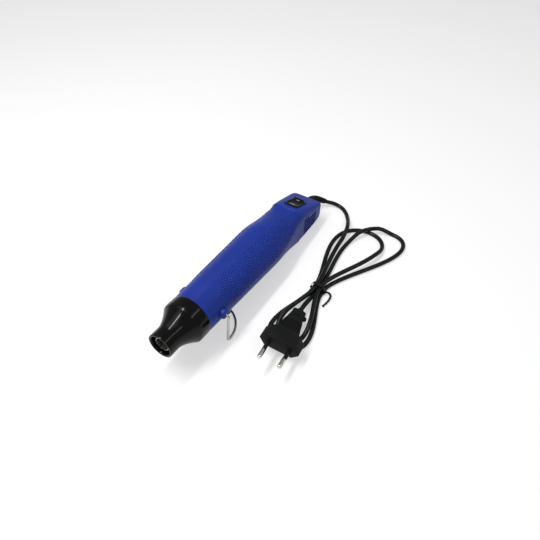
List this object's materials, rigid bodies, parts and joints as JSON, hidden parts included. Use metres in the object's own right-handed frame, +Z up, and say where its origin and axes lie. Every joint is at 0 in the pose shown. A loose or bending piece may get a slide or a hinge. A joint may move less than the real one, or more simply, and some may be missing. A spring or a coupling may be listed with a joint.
{
  "type": "embossing heat tool",
  "caption": "Slim embossing heat tool: blue two-shell body, black nozzle with a steel air tube, folding wire stand, rocker switch, and a mains lead tied in a hank with its plug.",
  "frame": {"origin": "bottom centre of the tool without its cord, standing on its wire stand and its tail", "axes": "+X along the tool's length, from the nozzle to the tail; +Z up from the table"},
  "size_m": [0.2531, 0.136, 0.0522],
  "materials": {
    "shell": "deep blue moulded plastic, satin gloss",
    "nozzle": "glossy black heat resistant plastic",
    "tube_steel": "bare steel tube",
    "mica": "pressed mica sheet",
    "heating_wire": "heating alloy wire",
    "inner_plastic": "dark heat resistant plastic",
    "fan_plastic": "white moulded plastic",
    "shaft_steel": "ground steel",
    "motor_steel": "zinc plated steel can",
    "ceramic": "white ceramic",
    "board": "green circuit board",
    "components": "black component bodies",
    "switch_plastic": "black moulded plastic",
    "brass": "bare brass",
    "wire_insulation": "coloured wire insulation",
    "cord_rubber": "black satin cord sheath",
    "screw_steel": "zinc plated steel",
    "stand_steel": "bright plated steel wire",
    "plug_plastic": "black moulded plug, satin",
    "tie_plastic": "black plastic coated wire tie",
    "pin_plating": "nickel plated brass",
    "pin_insulation": "black pin insulation"
  },
  "bodies": {
    "root": {"upper_shell": "shell", "lower_shell": "shell", "nozzle_shroud": "nozzle", "air_tube": "tube_steel", "tube_spider": "tube_steel", "mica_sleeve": "mica", "heater_former": "mica", "heater_coil": "heating_wire", "air_funnel": "inner_plastic", "thermal_cutout": "ceramic", "fan_duct": "inner_plastic", "motor": "motor_steel", "motor_endcap": "inner_plastic", "motor_clamp": "inner_plastic", "rectifier_board": "board", "rectifier_parts": "components", "switch_body": "switch_plastic", "switch_terminals": "brass", "motor_wires": "wire_insulation", "mains_wires": "cord_rubber", "cord_clamp": "inner_plastic", "clamp_screws": "screw_steel", "shell_screws": "screw_steel", "strain_relief": "cord_rubber", "cord_lead": "cord_rubber", "cord_hank": "cord_rubber", "cord_tie": "tie_plastic", "plug_body": "plug_plastic", "plug_pins": "pin_plating", "pin_sleeves": "pin_insulation"},
    "stand": {"stand_wire": "stand_steel"},
    "rocker": {"switch_rocker": "switch_plastic"},
    "fan": {"fan_impeller": "fan_plastic", "motor_shaft": "shaft_steel"}
  },
  "joints": [
    {"name": "stand_fold", "type": "hinge", "parent": "root", "child": "stand", "pos_m": [-0.05885, 0, 0.03064], "axis": [0, 1, 0], "range_deg": [0, 82]},
    {"name": "rocker_tilt", "type": "hinge", "parent": "root", "child": "rocker", "pos_m": [0.08702, 0, 0.03043], "axis": [0, 1, 0], "range_deg": [0, 16]},
    {"name": "fan_spin", "type": "hinge", "parent": "root", "child": "fan", "pos_m": [-0.01995, 0, 0.02785], "axis": [0.9974, 0, -0.0715], "continuous": true}
  ]
}
